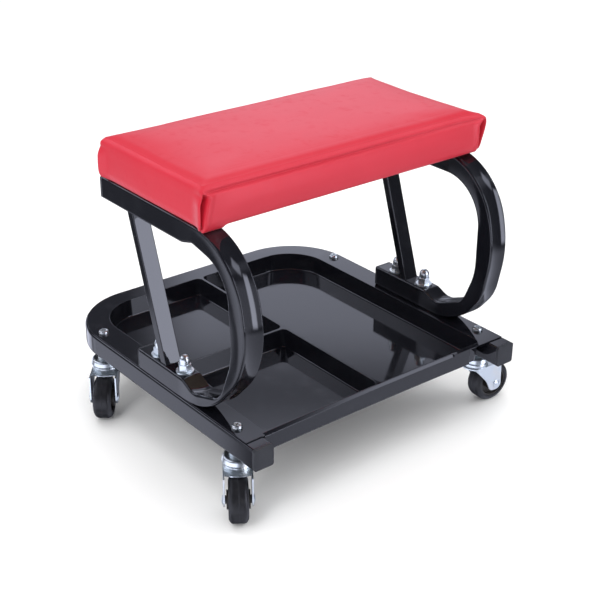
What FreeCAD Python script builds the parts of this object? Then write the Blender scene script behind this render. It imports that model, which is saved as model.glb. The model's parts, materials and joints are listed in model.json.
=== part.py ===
import FreeCAD, Part

import math
import os
from types import SimpleNamespace

import Sketcher
from FreeCAD import Placement, Rotation, Vector

# Creeper seat: a padded seat on two C-bent tubes, over a pressed tool tray,
# on a U-bent tube frame with four swivel casters.
# The frame has +X to the right, +Y to the back and +Z up.
# Its origin is on the floor, under the middle of the base frame.

os.makedirs("parts", exist_ok=True)
doc = FreeCAD.newDocument("creeper_seat")

# Driving sizes in millimetres
sizes = {
    # base frame
    "tube_size": 25.0,
    "tube_wall": 1.5,
    "tube_corner": 2.5,
    "frame_width": 381.6,
    "frame_length": 393.5,
    "frame_bend": 72.5,
    "caster_height": 72.8,
    # end plugs
    "base_plug_head": 3.5,
    "arm_plug_head": 2.5,
    "plug_depth": 12.0,
    "plug_clearance": 0.1,
    # tool tray
    "sheet": 1.2,
    "rim_inset": 2.0,
    "rim_setback": 13.5,
    "rim_bow": 2.5,
    "side_rim": 31.8,
    "rear_rim": 27.0,
    "front_strip": 6.5,
    "tray_depth": 22.5,
    "wall_draft": 2.4,
    "bay_rear_corner": 54.0,
    "bay_corner": 8.0,
    "divider_top": 3.0,
    "floor_fillet": 2.0,
    "flange_height": 20.5,
    "flange_left": 164.0,
    "flange_right": 137.0,
    "lip_right": 112.0,
    "lip_width": 3.6,
    "lip_drop": 2.5,
    # side frames
    "side_front": 15.0,
    "side_reach": 259.0,
    "side_height": 211.8,
    # braces
    "brace_width": 20.0,
    "brace_depth": 10.5,
    "brace_wall": 1.2,
    "brace_corner": 1.0,
    "brace_foot": 159.5,
    "brace_lean": 54.0,
    # frame bolts, washers and cap nuts
    "bolt_front": 137.5,
    "bolt_pitch": 48.0,
    "bolt_radius": 4.0,
    "bolt_clearance": 0.25,
    "bolt_head_radius": 9.5,
    "bolt_head_height": 4.0,
    "bolt_end": 11.0,
    "washer_radius": 10.0,
    "washer_thickness": 1.8,
    "nut_flats": 13.0,
    "nut_hex_height": 8.0,
    "nut_dome_radius": 6.0,
    "nut_dome_start": 12.5,
    "nut_bore_depth": 13.5,
    "thread_clearance": 0.05,
    # caster positions and kingpins
    "caster_front": 43.0,
    "caster_pitch": 266.5,
    "kingpin_radius": 3.0,
    "kingpin_end": 46.8,
    "pan_radius": 6.0,
    "pan_height": 4.2,
    "pan_edge": 1.4,
    "recess_length": 6.4,
    "recess_width": 1.5,
    "recess_depth": 2.2,
    "spacer_radius": 9.0,
    "spacer_height": 5.8,
    "sleeve_wall": 1.5,
    "sleeve_clearance": 0.1,
    # caster head
    "head_sheet": 1.6,
    "cup_radius": 17.0,
    "cup_height": 6.4,
    "race_gap": 0.7,
    "crown_radius": 15.6,
    "crown_height": 6.0,
    "upper_ball": 2.4,
    "upper_ball_circle": 11.4,
    "lower_ball": 1.8,
    "lower_ball_circle": 9.5,
    "ball_clearance": 0.25,
    "race_radius": 12.5,
    "race_thickness": 1.6,
    "kingpin_nut_flats": 10.0,
    "kingpin_nut_height": 5.0,
    # fork, axle and wheel
    "fork_width": 31.8,
    "fork_front": 17.5,
    "fork_end_radius": 7.6,
    "mouth_side": 19.5,
    "mouth_middle": 26.0,
    "trail": 23.0,
    "wheel_radius": 25.4,
    "tread_width": 21.3,
    "shoulder_width": 2.6,
    "shoulder_height": 4.6,
    "rim_radius": 18.6,
    "rim_wall": 1.8,
    "web_thickness": 7.0,
    "hub_radius": 10.3,
    "hub_width": 25.2,
    "nib_radius": 4.5,
    "hub_clearance": 0.25,
    "axle_radius": 3.0,
    "axle_clearance": 0.08,
    "rivet_radius": 5.0,
    "rivet_height": 1.7,
    # seat
    "seat_overhang": 2.2,
    "seat_depth": 194.0,
    "seat_front": 74.3,
    "seat_height": 50.5,
    "seat_corner": 8.0,
    "cover_thickness": 1.2,
    "foam_clearance": 0.1,
    "board_inset": 8.0,
    "board_thickness": 9.0,
    "hem_width": 31.0,
    "staple_crown": 10.0,
    "staple_wire": 0.9,
    "staple_leg": 6.0,
    "staple_edge": 2.6,
    "seat_screw_front": 165.0,
    "seat_screw_radius": 2.5,
    "seat_screw_head": 5.5,
    "seat_screw_head_height": 3.0,
    "seat_screw_grip": 7.0,
    # one overrun for every cut, and how closely an edge has to lie to be picked
    "overrun": 5.0,
    "edge_match": 0.05,
}

sheet = doc.addObject("Spreadsheet::Sheet", "Sizes")
for row, (alias, value) in enumerate(sizes.items(), start=1):
    sheet.set(f"A{row}", alias)
    sheet.set(f"B{row}", str(value))
    sheet.setAlias(f"B{row}", alias)
doc.recompute()
size = SimpleNamespace(**{alias: float(sheet.get(alias)) for alias in sizes})

# Counts, and angles in degrees: how each caster trails, and how nuts and screws were left
STAPLES_ALONG = 9
STAPLES_ACROSS = 4
UPPER_BALLS = 14
LOWER_BALLS = 15
CASTER_YAWS = {"fl": 214.7, "fr": 95.2, "rl": 219.8, "rr": 118.0}
NUT_TURNS = (8, 37, 52, 21)
SCREW_TURNS = (31, 68, 12, 80)

# Places worked out from the driving sizes
arm_x = (size.frame_width - size.tube_size) / 2
tube_top = size.caster_height + size.tube_size
rim_top = tube_top + size.sheet
arm_top = rim_top + size.side_height
floor_top = rim_top - size.tray_depth
front_y = -(size.frame_length + size.base_plug_head) / 2
tube_front_y = front_y + size.base_plug_head
rear_y = tube_front_y + size.frame_length
kingpin_places = {
    "fl": (-arm_x, tube_front_y + size.caster_front),
    "fr": (arm_x, tube_front_y + size.caster_front),
    "rl": (-arm_x, tube_front_y + size.caster_front + size.caster_pitch),
    "rr": (arm_x, tube_front_y + size.caster_front + size.caster_pitch),
}
bolt_places = [
    (side * arm_x, tube_front_y + size.bolt_front + step * size.bolt_pitch)
    for side in (-1, 1)
    for step in (0, 1)
]
cup_top = size.caster_height - size.spacer_height
crown_top = cup_top - size.cup_height - size.race_gap
plate_top = crown_top - size.crown_height
plate_bottom = plate_top - size.head_sheet
fork_half = size.fork_width / 2
kingpin_bore = size.kingpin_radius + size.sleeve_clearance
sleeve_radius = kingpin_bore + size.sleeve_wall


# The same levels as texts for the sheet's expressions
tube_top_text = "Sizes.caster_height + Sizes.tube_size"
rim_top_text = f"{tube_top_text} + Sizes.sheet"
arm_top_text = f"{rim_top_text} + Sizes.side_height"

# Helpers for outlines


def corner_points(before, vertex, after, radius):
    """Start, middle and end of the arc that rounds one vertex of an outline."""
    to_before = (before - vertex).normalize()
    to_after = (after - vertex).normalize()
    half = to_before.getAngle(to_after) / 2
    reach = radius / math.tan(half)
    towards_middle = (to_before + to_after).normalize()
    middle = vertex + towards_middle * (radius / math.sin(half) - radius)
    return vertex + to_before * reach, middle, vertex + to_after * reach


def outline_edges(vertices, closed=True):
    """Lines and tangent arcs through vertices given as (u, v, radius)."""
    points = [Vector(u, v, 0) for u, v, _ in vertices]
    count = len(points)
    stops = []
    for index, (_, _, radius) in enumerate(vertices):
        inner = closed or 0 < index < count - 1
        if radius > 0 and inner:
            before = points[index - 1]
            after = points[(index + 1) % count]
            stops.append(corner_points(before, points[index], after, radius))
        else:
            stops.append((points[index],))
    edges = []
    last = count if closed else count - 1
    for index in range(count):
        if len(stops[index]) == 3:
            edges.append(Part.Arc(*stops[index]))
        if index < last:
            start = stops[index][-1]
            end = stops[(index + 1) % count][0]
            if start.distanceToPoint(end) > Part.Vertex(start).Tolerance:
                edges.append(Part.LineSegment(start, end))
    return edges


def rectangle(width, depth, radius, centre=(0, 0)):
    """Vertices of a rounded rectangle."""
    u, v = centre
    half_width, half_depth = width / 2, depth / 2
    return [
        (u - half_width, v - half_depth, radius),
        (u + half_width, v - half_depth, radius),
        (u + half_width, v + half_depth, radius),
        (u - half_width, v + half_depth, radius),
    ]


def hexagon(flats):
    """Vertices of a hexagon from its width across flats."""
    reach = flats / math.sqrt(3)
    return [
        (reach * math.cos(math.radians(60 * k)), reach * math.sin(math.radians(60 * k)), 0)
        for k in range(6)
    ]


def offset_chain(vertices, distance):
    """An open outline moved to the left of its travel, with its arcs kept concentric."""
    points = [Vector(u, v, 0) for u, v, _ in vertices]
    along = [(b - a).normalize() for a, b in zip(points, points[1:])]
    left = [Vector(-d.y, d.x, 0) for d in along]
    moved = [(*(points[0] + left[0] * distance)[:2], 0)]
    for index in range(1, len(points) - 1):
        before, after = left[index - 1], left[index]
        shift = (before + after) * (distance / (1 + before.dot(after)))
        turn_left = along[index - 1].cross(along[index]).z > 0
        radius = vertices[index][2] - distance if turn_left else vertices[index][2] + distance
        moved.append((*(points[index] + shift)[:2], radius))
    moved.append((*(points[-1] + left[-1] * distance)[:2], 0))
    return moved


# Helpers for bodies and their features


def new_body(name):
    body = doc.addObject("PartDesign::Body", name)
    body.Label = name
    return body


def sketch_on(body, role, name, outlines, offset="0", closed=True):
    """A sketch on one of the body's own origin planes, moved along its normal."""
    sketch = body.newObject("Sketcher::SketchObject", name)
    support = [f for f in body.Origin.OriginFeatures if f.Role == role][0]
    sketch.AttachmentSupport = (support, [""])
    sketch.MapMode = "FlatFace"
    sketch.setExpression(".AttachmentOffset.Base.z", offset)
    for vertices in outlines:
        sketch.addGeometry(outline_edges(vertices, closed), False)
    return sketch


def add_circles(sketch, places, radius):
    """Circles at the given places, each with its radius tied to the sizes."""
    for u, v in places:
        circle = Part.Circle(Vector(u, v, 0), Vector(0, 0, 1), size.tube_size)
        index = sketch.addGeometry(circle, False)
        constraint = sketch.addConstraint(Sketcher.Constraint("Radius", index, size.tube_size))
        sketch.setExpression(f"Constraints[{constraint}]", radius)
    return sketch


def checked(feature):
    """Works a feature out and stops the build if it has failed."""
    doc.recompute()
    if "Invalid" in feature.State or feature.Shape.isNull():
        raise RuntimeError(f"{feature.Name} failed")
    return feature


def pad(body, sketch, length, reverse=False, symmetric=False, taper=None):
    feature = body.newObject("PartDesign::Pad", sketch.Name + "_pad")
    feature.Profile = sketch
    feature.Reversed = reverse
    feature.SideType = "Symmetric" if symmetric else "One side"
    feature.setExpression("Length", length)
    if taper:
        feature.setExpression("TaperAngle", taper)
    return checked(feature)


def pocket(body, sketch, length=None, reverse=False, symmetric=False, taper=None):
    """A cut of a given length, or through all; it has to remove something."""
    before = body.Shape.Volume
    feature = body.newObject("PartDesign::Pocket", sketch.Name + "_pocket")
    feature.Profile = sketch
    feature.Reversed = reverse
    feature.SideType = "Symmetric" if symmetric else "One side"
    if length:
        feature.setExpression("Length", length)
    else:
        feature.Type = "ThroughAll"
    if taper:
        feature.setExpression("TaperAngle", taper)
    checked(feature)
    if body.Shape.Volume >= before:
        raise RuntimeError(f"{feature.Name} cuts nothing")
    return feature


def revolve(body, name, vertices, axis="V_Axis"):
    """A turned solid from half an outline in the XZ plane."""
    sketch = sketch_on(body, "XZ_Plane", name, [vertices])
    feature = body.newObject("PartDesign::Revolution", name + "_turned")
    feature.Profile = sketch
    feature.ReferenceAxis = (sketch, [axis])
    return checked(feature)


def fillet(body, radius, chosen):
    """Rounds the edges of the body's tip that the given test picks."""
    tip = body.Tip
    names = [f"Edge{i}" for i, edge in enumerate(tip.Shape.Edges, start=1) if chosen(edge)]
    feature = body.newObject("PartDesign::Fillet", tip.Name + "_fillet")
    feature.Base = (tip, names)
    feature.setExpression("Radius", radius)
    return checked(feature)


def at_height(edge, height):
    box = edge.BoundBox
    near = size.edge_match
    return abs(box.ZMin - height) < near and abs(box.ZMax - height) < near


def group(name, shapes):
    """One node of several separate solids, or of one solid copied from its master."""
    node = doc.addObject("Part::Feature", name)
    node.Label = name
    solids = [solid for shape in shapes for solid in shape.Solids]
    node.Shape = solids[0] if len(solids) == 1 else Part.makeCompound(solids)
    return node


def moved(shape, place):
    """A copy of a shape carried along by a placement."""
    copy = shape.copy()
    copy.Placement = place.multiply(copy.Placement)
    return copy


def upright(x, y, z, turn=0):
    return Placement(Vector(x, y, z), Rotation(Vector(0, 0, 1), turn))


nodes = []

# Base frame: a square tube bent to a U that is open to the front
frame = new_body("base_frame")
tube_centre = "Sizes.caster_height + Sizes.tube_size / 2"
rear_centre_y = rear_y - size.tube_size / 2
spine = sketch_on(
    frame,
    "XY_Plane",
    "frame_spine",
    [
        [
            (-arm_x, tube_front_y, 0),
            (-arm_x, rear_centre_y, size.frame_bend),
            (arm_x, rear_centre_y, size.frame_bend),
            (arm_x, tube_front_y, 0),
        ]
    ],
    tube_centre,
    closed=False,
)
bore_size = size.tube_size - 2 * size.tube_wall
bore_corner = size.tube_corner - size.tube_wall
section_centre = (-arm_x, size.caster_height + size.tube_size / 2)
for kind, width, corner in (
    ("Additive", size.tube_size, size.tube_corner),
    ("Subtractive", bore_size, bore_corner),
):
    section = sketch_on(
        frame,
        "XZ_Plane",
        f"frame_{kind.lower()}_section",
        [rectangle(width, width, corner, section_centre)],
        "(Sizes.frame_length - Sizes.base_plug_head) / 2",
    )
    pipe = frame.newObject(f"PartDesign::{kind}Pipe", f"frame_{kind.lower()}_pipe")
    pipe.Profile = section
    pipe.Spine = (spine, [""])
    checked(pipe)
holes = sketch_on(frame, "XY_Plane", "frame_kingpin_holes", [])
add_circles(holes, kingpin_places.values(), "Sizes.kingpin_radius + Sizes.bolt_clearance")
add_circles(holes, bolt_places, "Sizes.bolt_radius + Sizes.bolt_clearance")
pocket(frame, holes, reverse=True)
nodes.append(frame)


# End plugs: a square head and a hollow-fitting shank
def plug_master(name, head):
    body = new_body(name)
    square = rectangle(size.tube_size, size.tube_size, size.tube_corner)
    pad(body, sketch_on(body, "XZ_Plane", name + "_head", [square]), f"Sizes.{head}")
    shank_size = bore_size - 2 * size.plug_clearance
    shank = rectangle(shank_size, shank_size, bore_corner)
    pad(body, sketch_on(body, "XZ_Plane", name + "_shank", [shank]), "Sizes.plug_depth", reverse=True)
    return body


base_plug = plug_master("base_plug_master", "base_plug_head")
plug_z = size.caster_height + size.tube_size / 2
nodes.append(
    group(
        "base_plugs",
        [moved(base_plug.Shape, upright(side * arm_x, tube_front_y, plug_z)) for side in (-1, 1)],
    )
)

# Tool tray: a flat rim on the tube, three tapered bays, and a flange folded down in front
tray = new_body("tool_tray")
rim_half = size.frame_width / 2 - size.rim_inset
rim_front_y = tube_front_y + size.rim_setback
rim_rear_y = rear_y - size.rim_inset
rim_corner = size.frame_bend + size.tube_size / 2 - size.rim_inset
bay_half = rim_half + size.rim_inset - size.side_rim
bay_front_y = rim_front_y + size.front_strip
bay_rear_y = rear_y - size.rear_rim
bay_middle_y = (bay_front_y + bay_rear_y) / 2 - size.front_strip / 2
divider_half = size.divider_top / 2


def front_at(x):
    """The rim's front edge, a shallow hollow arc in plan."""
    return rim_front_y + size.rim_bow * (1 - (x / rim_half) ** 2)


def bowed_edge(left, right, setback=0):
    """A stretch of the front edge, or of the same arc set back from it."""
    middle = (left + right) / 2
    return Part.Arc(*(Vector(x, front_at(x) + setback, 0) for x in (left, middle, right)))


def bowed_band(left, right, setback):
    """The band between the front edge and the same arc set back from it."""
    front = bowed_edge(left, right)
    back = bowed_edge(right, left, setback)
    return [
        front,
        Part.LineSegment(front.EndPoint, back.StartPoint),
        back,
        Part.LineSegment(back.EndPoint, front.StartPoint),
    ]


def bay_outline(left, right, front, rear, grow):
    """One bay's mouth; a corner by the rear of the rim follows the frame's bend."""
    wide = size.bay_rear_corner + grow
    tight = size.bay_corner + grow
    at_back = rear > bay_middle_y + size.bay_rear_corner
    return [
        (left - grow, front - grow, tight),
        (right + grow, front - grow, tight),
        (right + grow, rear + grow, wide if at_back and right > divider_half else tight),
        (left - grow, rear + grow, wide if at_back and left < -divider_half else tight),
    ]


bays = {
    "left_front": (-bay_half, -divider_half, bay_front_y, bay_middle_y - divider_half),
    "left_rear": (-bay_half, -divider_half, bay_middle_y + divider_half, bay_rear_y),
    "right": (divider_half, bay_half, bay_front_y, bay_rear_y),
}
draft_text = "-atan(Sizes.wall_draft / Sizes.tray_depth)"
rim = sketch_on(tray, "XY_Plane", "tray_rim", [], tube_top_text)
rim_plan = [
    (-rim_half, rim_front_y, 0),
    (-rim_half, rim_rear_y, rim_corner),
    (rim_half, rim_rear_y, rim_corner),
    (rim_half, rim_front_y, 0),
]
rim.addGeometry(outline_edges(rim_plan, closed=False), False)
rim.addGeometry(bowed_edge(-rim_half, rim_half), False)
pad(tray, rim, "Sizes.sheet")
for bay, limits in bays.items():
    skin = sketch_on(
        tray, "XY_Plane", f"bay_{bay}_skin", [bay_outline(*limits, size.sheet)], rim_top_text
    )
    pad(tray, skin, "Sizes.tray_depth + Sizes.sheet", reverse=True, taper=draft_text)
for bay, limits in bays.items():
    mouth = sketch_on(
        tray, "XY_Plane", f"bay_{bay}_mouth", [bay_outline(*limits, 0)], rim_top_text
    )
    pocket(tray, mouth, "Sizes.tray_depth", taper=draft_text)
fillet(tray, "Sizes.floor_fillet", lambda edge: at_height(edge, floor_top))
recess = sketch_on(tray, "XY_Plane", "hem_recess", [], rim_top_text)
recess.addGeometry(bowed_band(-size.flange_left, size.lip_right, size.lip_width), False)
pocket(tray, recess, "Sizes.sheet")
hem_path = sketch_on(tray, "XY_Plane", "hem_path", [], rim_top_text)
hem_path.addGeometry([bowed_edge(-size.flange_left, size.lip_right)], False)
hem_front = front_at(-size.flange_left)
hem_back = hem_front + size.lip_width + size.sheet
flange_foot = rim_top - size.flange_height
hem_profile = [
    (hem_back, rim_top, 0),
    (hem_front + size.lip_width, rim_top, 0),
    (hem_front, rim_top - size.lip_drop, 0),
    (hem_front, flange_foot, 0),
    (hem_front + size.sheet, flange_foot, 0),
    (hem_front + size.sheet, rim_top - size.lip_drop - size.sheet / 2, 0),
    (hem_front + size.lip_width, rim_top - size.sheet, 0),
    (hem_back, rim_top - size.sheet, 0),
]
hem_section = sketch_on(tray, "YZ_Plane", "hem_section", [hem_profile], "-Sizes.flange_left")
hem = tray.newObject("PartDesign::AdditivePipe", "front_hem")
hem.Profile = hem_section
hem.Spine = (hem_path, [""])
checked(hem)
flange = sketch_on(tray, "XY_Plane", "front_flange", [], rim_top_text)
flange.addGeometry(bowed_band(size.lip_right, size.flange_right, size.sheet), False)
pad(tray, flange, "Sizes.flange_height", reverse=True)
holes = sketch_on(tray, "XY_Plane", "rim_holes", [])
add_circles(holes, kingpin_places.values(), "Sizes.kingpin_radius + Sizes.bolt_clearance")
add_circles(holes, bolt_places, "Sizes.bolt_radius + Sizes.bolt_clearance")
pocket(tray, holes, reverse=True)
nodes.append(tray)

# Side frames: a square tube bent to a C, drawn in and crushed at its two bends.
# Each vertex is a share of the C's reach and height, and its radius a share of the tube.
# The knees are where the inner face leaves the straight arms.
left_side_shares = {
    "outer": [
        (1.0, 1.0, 0),
        (0.059, 1.0, 3.34),
        (-0.012, 0.511, 4.0),
        (0.048, 0.298, 3.6),
        (0.268, 0.0, 4.0),
        (0.768, 0.0, 0),
    ],
    "low_knee": (0.44, 0.5),
    "inner": [
        (0.362, 0.074, 0.9),
        (0.178, 0.148, 1.2),
        (0.09, 0.412, 3.2),
        (0.115, 0.849, 1.8),
        (0.34, 0.907, 0.5),
    ],
    "high_knee": (0.41, 0.8),
}
right_side_shares = {
    "outer": [
        (1.0, 1.0, 0),
        (0.116, 1.0, 3.44),
        (0.022, 0.536, 5.3),
        (0.071, 0.236, 2.4),
        (0.225, 0.0, 3.2),
        (0.768, 0.0, 0),
    ],
    "low_knee": (0.432, 0.5),
    "inner": [
        (0.355, 0.077, 1.0),
        (0.193, 0.162, 1.2),
        (0.127, 0.36, 3.2),
    ],
    "high_knee": (0.131, 2.15),
}
side_front_y = tube_front_y + size.side_front - size.base_plug_head
wall_text = "Sizes.tube_size - 2 * Sizes.tube_wall"


def side_chain(shares):
    """An outline's vertices in the plane of the C, from its shares."""
    chain = []
    for reach, height, radius in shares:
        y = side_front_y + reach * size.side_reach
        chain.append((y, rim_top + height * size.side_height, radius * size.tube_size))
    return chain


def inner_chain(shares):
    """The inner face: two straight arms one tube thick, and the bent part between them."""
    arm = size.tube_size / size.side_height
    low_reach, low_radius = shares["low_knee"]
    high_reach, high_radius = shares["high_knee"]
    low = [(shares["outer"][-1][0], arm, 0), (low_reach, arm, low_radius)]
    high = [(high_reach, 1 - arm, high_radius), (shares["outer"][0][0], 1 - arm, 0)]
    return side_chain(low + shares["inner"] + high)


def stretched(chain):
    """The chain with both its ends run past the open end of the tube."""
    (y0, z0, r0), (y1, z1, r1) = chain[0], chain[-1]
    return [(y0 + size.overrun, z0, r0), *chain[1:-1], (y1 + size.overrun, z1, r1)]


def side_frame(name, side, shares):
    body = new_body(name)
    outer = side_chain(shares["outer"])
    inner = inner_chain(shares)
    outside = sketch_on(body, "YZ_Plane", name + "_outside", [outer + inner])
    pad(body, outside, "Sizes.tube_size", symmetric=True)
    half = size.tube_size / 2

    def long_edge(edge):
        box = edge.BoundBox
        flat = box.XMax - box.XMin < size.edge_match
        on_side = abs(abs(box.XMin) - half) < size.edge_match
        across_end = box.YMax - box.YMin < size.edge_match
        return flat and on_side and not across_end

    fillet(body, "Sizes.tube_corner", long_edge)
    hollow = stretched(offset_chain(outer, size.tube_wall))
    hollow += stretched(offset_chain(inner, size.tube_wall))
    inside = sketch_on(body, "YZ_Plane", name + "_inside", [hollow])
    pocket(body, inside, wall_text, symmetric=True)
    low_holes = sketch_on(body, "XY_Plane", name + "_bolt_holes", [])
    low_places = [(0, y) for x, y in bolt_places if x > 0]
    add_circles(low_holes, low_places, "Sizes.bolt_radius + Sizes.bolt_clearance")
    pocket(body, low_holes, rim_top_text + " + Sizes.side_height / 2", reverse=True)
    high_holes = sketch_on(body, "XY_Plane", name + "_seat_hole", [], arm_top_text)
    seat_place = [(0, tube_front_y + size.seat_screw_front)]
    add_circles(high_holes, seat_place, "Sizes.seat_screw_radius + Sizes.bolt_clearance")
    pocket(body, high_holes, "Sizes.side_height / 2")
    body.setExpression(
        ".Placement.Base.x", f"{side} * (Sizes.frame_width - Sizes.tube_size) / 2"
    )
    return body


nodes.append(side_frame("side_frame_left", -1, left_side_shares))
nodes.append(side_frame("side_frame_right", 1, right_side_shares))

# Braces: a small rectangular tube leaning back between the arms of each C
brace_low = rim_top + size.tube_size
brace_high = arm_top - size.tube_size


def brace(name, side):
    body = new_body(name)
    foot_y = tube_front_y + size.brace_foot

    def lean_outline(wall, past):
        slope = size.brace_lean / (brace_high - brace_low)
        low, high = brace_low - past, brace_high + past
        low_y, high_y = foot_y - past * slope, foot_y + size.brace_lean + past * slope
        return [
            (low_y + wall, low, 0),
            (low_y + size.brace_depth - wall, low, 0),
            (high_y + size.brace_depth - wall, high, 0),
            (high_y + wall, high, 0),
        ]

    outside = sketch_on(body, "YZ_Plane", name + "_outside", [lean_outline(0, 0)])
    pad(body, outside, "Sizes.brace_width", symmetric=True)

    def long_edge(edge):
        return edge.BoundBox.ZMax - edge.BoundBox.ZMin > size.side_height / 2

    fillet(body, "Sizes.brace_corner", long_edge)
    inside = sketch_on(body, "YZ_Plane", name + "_inside", [lean_outline(size.brace_wall, size.overrun)])
    pocket(body, inside, "Sizes.brace_width - 2 * Sizes.brace_wall", symmetric=True)
    body.setExpression(
        ".Placement.Base.x", f"{side} * (Sizes.frame_width - Sizes.tube_size) / 2"
    )
    return body


nodes.append(brace("brace_left", -1))
nodes.append(brace("brace_right", 1))

# Plugs in the four rear ends of the arms; their heads face back
arm_plug = plug_master("arm_plug_master", "arm_plug_head")
arm_ends = [
    (side_front_y + reach * size.side_reach, z)
    for reach, z in (
        (left_side_shares["outer"][-1][0], rim_top + size.tube_size / 2),
        (left_side_shares["outer"][0][0], arm_top - size.tube_size / 2),
    )
]
nodes.append(
    group(
        "arm_plugs",
        [
            moved(arm_plug.Shape, upright(side * arm_x, y, z, 180))
            for side in (-1, 1)
            for y, z in arm_ends
        ],
    )
)

# Frame bolts, washers and cap nuts
bolt_length = 2 * size.tube_size + size.sheet + size.washer_thickness + size.bolt_end
bolt = new_body("frame_bolt_master")
head_share = 0.45
revolve(
    bolt,
    "frame_bolt",
    [
        (0, -size.bolt_head_height, 0),
        (size.bolt_head_radius * head_share, -size.bolt_head_height, 0),
        (size.bolt_head_radius, -size.bolt_head_height * head_share, 0),
        (size.bolt_head_radius, 0, 0),
        (size.bolt_radius, 0, 0),
        (size.bolt_radius, bolt_length, 0),
        (0, bolt_length, 0),
    ],
)
nodes.append(
    group("frame_bolts", [moved(bolt.Shape, upright(x, y, size.caster_height)) for x, y in bolt_places])
)

washer = new_body("frame_washer_master")
washer_sketch = sketch_on(washer, "XY_Plane", "washer_ring", [])
add_circles(washer_sketch, [(0, 0)], "Sizes.washer_radius")
add_circles(washer_sketch, [(0, 0)], "Sizes.bolt_radius + Sizes.bolt_clearance")
pad(washer, washer_sketch, "Sizes.washer_thickness")
washer_z = rim_top + size.tube_size
nodes.append(
    group("frame_washers", [moved(washer.Shape, upright(x, y, washer_z)) for x, y in bolt_places])
)

cap_nut = new_body("cap_nut_master")
cap_nut_sketch = sketch_on(cap_nut, "XY_Plane", "cap_nut_hex", [hexagon(size.nut_flats)])
pad(cap_nut, cap_nut_sketch, "Sizes.nut_hex_height")
nut_top = size.nut_dome_start + size.nut_dome_radius
revolve(
    cap_nut,
    "cap_nut_dome",
    [
        (0, 0, 0),
        (size.nut_dome_radius, 0, 0),
        (size.nut_dome_radius, nut_top, size.nut_dome_radius),
        (0, nut_top, 0),
    ],
)
bore = sketch_on(cap_nut, "XY_Plane", "cap_nut_bore", [])
add_circles(bore, [(0, 0)], "Sizes.bolt_radius + Sizes.thread_clearance")
pocket(cap_nut, bore, "Sizes.nut_bore_depth", reverse=True)
nut_z = washer_z + size.washer_thickness
nodes.append(
    group(
        "cap_nuts",
        [
            moved(cap_nut.Shape, upright(x, y, nut_z, turn))
            for (x, y), turn in zip(bolt_places, NUT_TURNS)
        ],
    )
)

# Kingpins: pan head screws down through rim, tube, spacer and caster head
screw = new_body("caster_screw_master")
screw_length = rim_top - size.kingpin_end
revolve(
    screw,
    "caster_screw",
    [
        (0, size.pan_height, 0),
        (size.pan_radius, size.pan_height, size.pan_height - size.pan_edge),
        (size.pan_radius, 0, 0),
        (size.kingpin_radius, 0, 0),
        (size.kingpin_radius, -screw_length, 0),
        (0, -screw_length, 0),
    ],
)
recess_half, slot_half = size.recess_length / 2, size.recess_width / 2
cross = [
    (slot_half, slot_half, 0),
    (slot_half, recess_half, 0),
    (-slot_half, recess_half, 0),
    (-slot_half, slot_half, 0),
    (-recess_half, slot_half, 0),
    (-recess_half, -slot_half, 0),
    (-slot_half, -slot_half, 0),
    (-slot_half, -recess_half, 0),
    (slot_half, -recess_half, 0),
    (slot_half, -slot_half, 0),
    (recess_half, -slot_half, 0),
    (recess_half, slot_half, 0),
]
recess = sketch_on(screw, "XY_Plane", "caster_screw_recess", [cross], "Sizes.pan_height")
pocket(screw, recess, "Sizes.recess_depth")
nodes.append(
    group(
        "caster_screws",
        [
            moved(screw.Shape, upright(x, y, rim_top, turn))
            for (x, y), turn in zip(kingpin_places.values(), SCREW_TURNS)
        ],
    )
)


def tube_master(name, outer, length):
    """A plain tube on the kingpin, from its outer radius and length as texts of the sheet."""
    body = new_body(name)
    ring = sketch_on(body, "XY_Plane", name + "_ring", [])
    add_circles(ring, [(0, 0)], outer)
    add_circles(ring, [(0, 0)], "Sizes.kingpin_radius + Sizes.sleeve_clearance")
    pad(body, ring, length)
    return body


# Spacers, sleeves, lower races and nuts, stacked on each kingpin
cup_under = cup_top - size.head_sheet
crown_under = crown_top - size.head_sheet
race_top = crown_under - 2 * (size.lower_ball + size.ball_clearance)
race_bottom = race_top - size.race_thickness
nut_bottom = race_bottom - size.kingpin_nut_height
spacer = tube_master("spacer_master", "Sizes.spacer_radius", "Sizes.spacer_height")
sleeve = tube_master(
    "sleeve_master",
    "Sizes.kingpin_radius + Sizes.sleeve_clearance + Sizes.sleeve_wall",
    "Sizes.cup_height + Sizes.race_gap + 2 * (Sizes.lower_ball + Sizes.ball_clearance)",
)
lower_race = tube_master("lower_race_master", "Sizes.race_radius", "Sizes.race_thickness")
nut = new_body("kingpin_nut_master")
pad(
    nut,
    sketch_on(nut, "XY_Plane", "kingpin_nut_hex", [hexagon(size.kingpin_nut_flats)]),
    "Sizes.kingpin_nut_height",
)
bore = sketch_on(nut, "XY_Plane", "kingpin_nut_bore", [])
add_circles(bore, [(0, 0)], "Sizes.kingpin_radius + Sizes.thread_clearance")
pocket(nut, bore, reverse=True)
for name, master, z in (
    ("caster_spacers", spacer, cup_top),
    ("kingpin_sleeves", sleeve, race_top),
    ("lower_races", lower_race, race_bottom),
    ("kingpin_nuts", nut, nut_bottom),
):
    places = kingpin_places.values()
    nodes.append(group(name, [moved(master.Shape, upright(x, y, z)) for x, y in places]))


def ball_ring(name, radius, circle, count, z):
    """The balls of one race in all four casters."""
    balls = []
    for x, y in kingpin_places.values():
        for step in range(count):
            angle = 2 * math.pi * step / count
            centre = Vector(x + circle * math.cos(angle), y + circle * math.sin(angle), z)
            balls.append(Part.makeSphere(radius, centre))
    return group(name, balls)


nodes.append(
    ball_ring(
        "upper_balls", size.upper_ball, size.upper_ball_circle, UPPER_BALLS, (cup_under + crown_top) / 2
    )
)
nodes.append(
    ball_ring(
        "lower_balls", size.lower_ball, size.lower_ball_circle, LOWER_BALLS, (crown_under + race_top) / 2
    )
)

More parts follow.
